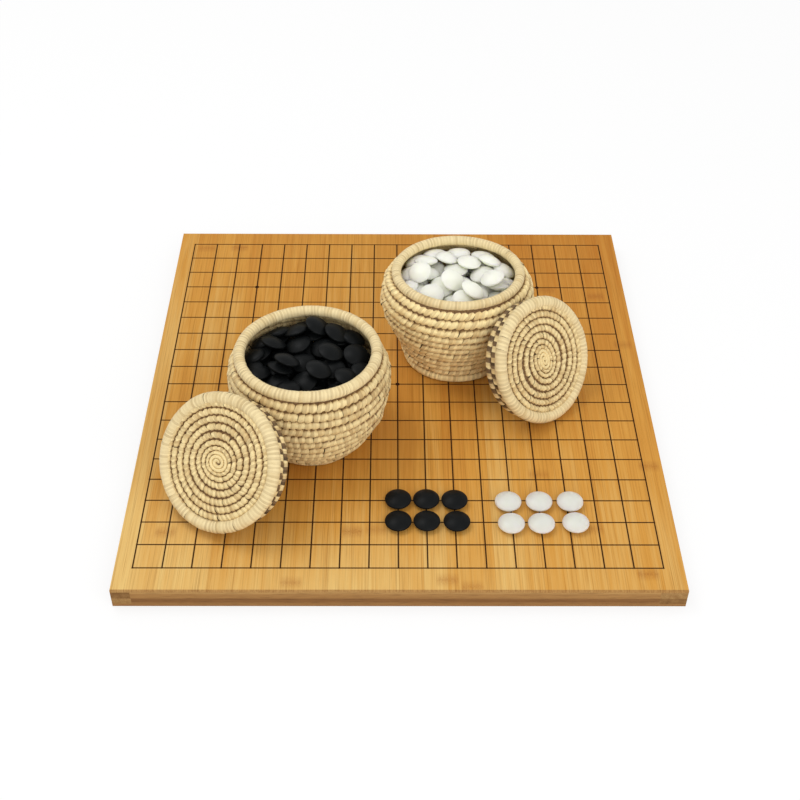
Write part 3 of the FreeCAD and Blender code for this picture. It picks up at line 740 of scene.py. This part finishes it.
def turned_wall(name, points, press):
    """A thin wall turned through the middles of the coils: their core, dark with painted shade in the holes.
    """
    profile = bpy.data.meshes.new(name)
    profile.from_pydata(points, [(k, k + 1) for k in range(len(points) - 1)], [])
    wall = bpy.data.objects.new(name, profile)
    bpy.context.collection.objects.link(wall)
    pick_only(wall)
    bpy.ops.object.mode_set(mode="EDIT")
    bpy.ops.mesh.select_all(action="SELECT")
    bpy.ops.mesh.spin(steps=72, angle=2 * math.pi, center=(0, 0, 0), axis=(0, 0, 1))
    bpy.ops.mesh.select_all(action="SELECT")
    bpy.ops.mesh.remove_doubles(threshold=0.05 * MM)
    bpy.ops.mesh.normals_make_consistent(inside=False)
    bpy.ops.transform.resize(value=(1, press, 1), center_override=(0, 0, 0))
    bpy.ops.object.mode_set(mode="OBJECT")
    thicken = wall.modifiers.new("thickness", "SOLIDIFY")
    thicken.thickness = packing_thickness
    thicken.offset = 0
    bpy.ops.object.modifier_apply(modifier=thicken.name)
    bpy.ops.object.shade_smooth()
    return wall


def make_bowl(colour):
    body = colour + "_bowl"
    side = SIDES[colour]
    side_top = side[-1][1] * MM
    centre, rim_radius, rim_coil, rim_press = ring_sizes(colour + "_bowl_rim_coil")
    foot_centre, foot_radius, foot_coil, foot_press = ring_sizes(colour + "_bowl_foot_coil")
    wall_press = ring_sizes(colour + "_bowl_wall")[3]
    underside = centre - UP * side_top
    rows, pitch = side_rows(side, foot_coil + end_gap, rim_coil + end_gap)
    laid = []
    for index, (radius, height, out_tilt) in enumerate(rows):
        near_foot = max(0.0, 1 - height / foot_shape_ends)
        near_rim = max(0.0, (height - rim_shape_starts) / (side_top - rim_shape_starts))
        press = wall_press + (foot_press - wall_press) * near_foot + (rim_press - wall_press) * near_rim
        laid += wrap_ring(plump_wrap, underside + UP * height, radius, press, out_tilt,
                          (wall_coil_bulge, pitch * wall_wrap_reach), wall_wrap_width,
                          WALL_SLANTS[colour], wall_raggedness, index * row_shift)
    wall = join_pieces(laid, colour + "_bowl_wall_coils")
    finish_piece(wall, body, "straw", WALL_STRAW[colour], colour + "_bowl_wall")

    ends = [(radius * MM, 0, height * MM) for radius, height in (side[0], side[-1])]
    points = [ends[0]] + [(radius, 0, height) for radius, height, out_tilt in rows] + [ends[1]]
    core = turned_wall(colour + "_bowl_packing", points, wall_press)
    core.data.transform(Matrix.Translation(underside))
    # The core through the coils carries the painted shade seen in the stitch holes.
    finish_piece(core, body, "straw", packing_shade)

    rim = wrap_ring(smooth_wrap, centre, rim_radius, rim_press, 0, (rim_coil, rim_coil),
                    rim_wrap_width, slant=0.1, ragged=0.03)
    rim = join_pieces(rim, colour + "_bowl_rim")
    finish_piece(rim, body, "straw", rim_straw, colour + "_bowl_rim_coil")
    foot = wrap_ring(smooth_wrap, foot_centre, foot_radius, foot_press, 0, (foot_coil, foot_coil),
                     foot_wrap_width, slant=0.08, ragged=0.04)
    foot = join_pieces(foot, colour + "_bowl_foot")
    finish_piece(foot, body, "straw", WALL_STRAW[colour], colour + "_bowl_foot_coil")
    give_finish(colour + "_bowl_base", straw)
    pack_wall_stones(colour, underside)


# ---- Lids ----
def wind_lid_top(reach, swirl):
    """One flat spiral of straw turns from the middle out to a reach.

    Its first turns are a bare cord, thin and a little oval; the others are wrapped.
    """
    laid = []
    angle, radius = spiral_start_angle, spiral_start_radius
    while radius < reach:
        bare = radius < bare_cord_radius
        pitch = lid_cord_pitch + lid_pitch_growth * max(0.0, radius - bare_cord_radius)
        pitch = min(lid_coil_pitch, pitch)
        down, across = (min(1.0, share + (1 - share) * radius / round_from) for share in swirl)
        level = Vector((math.cos(angle) * across, math.sin(angle) * down, 0)).normalized()
        along = Vector((-math.sin(angle) * down, math.cos(angle) * across, 0))
        stretch = along.length
        along.normalize()
        spot = Vector((math.cos(angle) * radius * down, math.sin(angle) * radius * across, 0))
        # Bare turns draw their chances too, so that the wraps keep theirs.
        width = lid_wrap_width * random.uniform(0.75, 1.25)
        lift = lid_unevenness * random.uniform(-1, 1)
        size = (flat_coil_bulge * random.uniform(0.9, 1.06), pitch * random.uniform(0.54, 0.6), width * 0.56)
        if bare:
            width = min(cord_turn_width, 0.3 * radius)
            size = (flat_coil_bulge * 0.95, pitch * 0.53, width * 0.62)
            laid.append(lay_wrap(cord_turn, spot + UP * lid_top_above_rim, UP, level, along, size,
                                 0.0, 0.0, 0.5))
        else:
            slant = 0.3 + 0.28 * random.uniform(-1, 1)
            twist = 0.1 * random.uniform(-1, 1)
            laid.append(lay_wrap(plump_wrap, spot + UP * (lid_top_above_rim + lift), UP, level, along, size,
                                 slant, twist, random.random()))
        angle += width / radius / stretch
        radius += pitch * width / radius / stretch / (2 * math.pi)
    return laid


def stand_on_board(piece):
    """Squeezes the lowest straw of a piece, so that it stands on the board."""
    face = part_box("board_top_ply")[1].z
    lowest = min(vertex.co.z for vertex in piece.data.vertices)
    if lowest < face:
        for vertex in piece.data.vertices:
            if vertex.co.z < face + squeezed_straw:
                share = (vertex.co.z - lowest) / (face + squeezed_straw - lowest)
                vertex.co.z = face + share * squeezed_straw
    return piece


def make_lid(colour):
    body = colour + "_lid"
    low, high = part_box(colour + "_lid_rim_coil")
    centre = (low + high) / 2 + Vector(LID_SLIPS[colour]) * MM
    tilt, azimuth = (math.radians(angle) for angle in LEANS[colour])
    lean = Matrix.Translation(centre) @ Matrix.Rotation(azimuth, 4, "Z") @ Matrix.Rotation(tilt, 4, "Y")
    rim_radius = LID_RIMS[colour] * MM
    mouth_rim, mouth_coil = ring_sizes(colour + "_bowl_rim_coil")[1:3]
    collar_radius = mouth_rim - mouth_coil + collar_over_mouth - collar_bulge

    def lean_over(piece):
        """A piece made flat about the middle of its rim coil leans as the lid does."""
        piece.data.transform(lean)
        return piece

    rim = wrap_ring(smooth_wrap, Vector((0, 0, 0)), rim_radius, 1.0, 0, (lid_rim_coil, lid_rim_coil),
                    lid_rim_wrap_width, slant=0.1, ragged=0.03)
    rim = lean_over(join_pieces(rim, colour + "_lid_rim"))
    finish_piece(rim, body, "straw", rim_straw, colour + "_lid_rim_coil")

    top = wind_lid_top(rim_radius - lid_rim_coil + 0.5 * lid_coil_pitch, SWIRLS[colour])
    top = lean_over(join_pieces(top, colour + "_lid_top_coil"))
    finish_piece(top, body, "straw", straw)

    # A disc under the top's spiral, as its core, painted dark: painted shade seen through the stitch holes.
    bpy.ops.mesh.primitive_cylinder_add(vertices=72, radius=rim_radius - lid_rim_coil,
                                        depth=packing_disc_depth, location=(0, 0, lid_top_above_rim))
    packing_disc = bpy.context.object
    packing_disc.name = colour + "_lid_packing"
    bpy.ops.object.transform_apply(location=True, rotation=True, scale=True)
    finish_piece(lean_over(packing_disc), body, "straw", packing_shade, colour + "_lid_top")

    # The collar: two coils of wraps, dark and natural by turns like a chequer.
    dark, natural = [], []
    for row in range(rows_on_collar):
        depth = lid_rim_coil + COLLAR_DROPS[colour] * MM + row * collar_pitch
        ring = wrap_ring(smooth_wrap, -UP * depth, collar_radius, 1.0, 0,
                         (collar_bulge, collar_pitch * 0.53),
                         2 * math.pi * collar_radius / collar_wraps, slant=0.1, ragged=0.04)
        for k, wrap in enumerate(ring):
            (dark if (k + row) % 2 else natural).append(wrap)
    dark = stand_on_board(lean_over(join_pieces(dark, colour + "_lid_collar_dark")))
    finish_piece(dark, body, "dyed_straw", dyed_straw, colour + "_lid_dark_wraps")
    natural = stand_on_board(lean_over(join_pieces(natural, colour + "_lid_collar_natural")))
    finish_piece(natural, body, "straw", straw, colour + "_lid_natural_wraps", colour + "_lid_collar")


for colour in COLOURS:
    make_bowl(colour)
    make_lid(colour)
for pattern in (plump_wrap, smooth_wrap, cord_turn):
    bpy.data.objects.remove(pattern)

# ---- Floor, light and camera ----
def make_floor():
    """A pale matt floor that glows to the eye, so that it looks white and still takes shadows."""
    bpy.ops.mesh.primitive_plane_add(size=12, location=(0, 0, -0.3 * MM))
    floor = bpy.context.object
    floor.name = "floor"
    material = bpy.data.materials.new("floor_white")
    material.use_nodes = True
    tree = material.node_tree
    tree.nodes.clear()
    rays = tree.nodes.new("ShaderNodeLightPath")
    seen = rays.outputs["Is Camera Ray"]
    for kind in ("Is Glossy Ray", "Is Transmission Ray"):
        either = tree.nodes.new("ShaderNodeMath")
        either.operation = "MAXIMUM"
        tree.links.new(seen, either.inputs[0])
        tree.links.new(rays.outputs[kind], either.inputs[1])
        seen = either.outputs[0]
    glow_share = tree.nodes.new("ShaderNodeMath")
    glow_share.operation = "MULTIPLY"
    glow_share.inputs[1].default_value = 0.8
    tree.links.new(seen, glow_share.inputs[0])
    matt = tree.nodes.new("ShaderNodeBsdfDiffuse")
    matt.inputs["Color"].default_value = (0.92, 0.92, 0.92, 1)
    glow = tree.nodes.new("ShaderNodeEmission")
    glow.inputs["Strength"].default_value = 1.0
    blend = tree.nodes.new("ShaderNodeMixShader")
    for source, socket in zip((glow_share, matt, glow), blend.inputs):
        tree.links.new(source.outputs[0], socket)
    out = tree.nodes.new("ShaderNodeOutputMaterial")
    tree.links.new(blend.outputs[0], out.inputs[0])
    floor.data.materials.append(material)


def make_daylight(strength_on_pieces, strength_seen):
    """White light from all round, brighter where it is seen as the background."""
    world = bpy.data.worlds.new("studio")
    bpy.context.scene.world = world
    world.use_nodes = True
    tree = world.node_tree
    background = tree.nodes["Background"]
    rays = tree.nodes.new("ShaderNodeLightPath")
    strength = tree.nodes.new("ShaderNodeMapRange")
    strength.inputs["To Min"].default_value = strength_on_pieces
    strength.inputs["To Max"].default_value = strength_seen
    tree.links.new(rays.outputs["Is Camera Ray"], strength.inputs["Value"])
    tree.links.new(strength.outputs[0], background.inputs["Strength"])
    background.inputs["Color"].default_value = (1, 1, 1, 1)


def soft_lamp(name, place, size, power):
    """A square lamp, its size in metres and its power in watts, that looks at the set's middle."""
    lamp = bpy.data.lights.new(name, "AREA")
    lamp.shape = "SQUARE"
    lamp.size = size
    lamp.energy = power
    holder = bpy.data.objects.new(name, lamp)
    bpy.context.collection.objects.link(holder)
    holder.location = place
    aim = Vector((0, 0, 0.05))
    holder.rotation_euler = (aim - Vector(place)).to_track_quat("-Z", "Y").to_euler()


make_floor()
make_daylight(strength_on_pieces=0.76, strength_seen=1.0)
soft_lamp("key_lamp", place=(-0.7, 0.3, 1.6), size=0.8, power=8.0)
soft_lamp("fill_lamp", place=(0.65, -1.4, 1.0), size=1.2, power=11.0)

# The camera looks down on the set from the front.
lens = bpy.data.cameras.new("camera")
lens.lens = 57.74
lens.sensor_width = 36
lens.clip_start = 0.01
camera = bpy.data.objects.new("camera", lens)
bpy.context.collection.objects.link(camera)
camera.location = (-0.007722, -0.865876, 0.787454)
camera.rotation_euler = (0.833294, -0.006533, -0.004596)
bpy.context.scene.camera = camera
bpy.context.scene.view_settings.view_transform = "Standard"
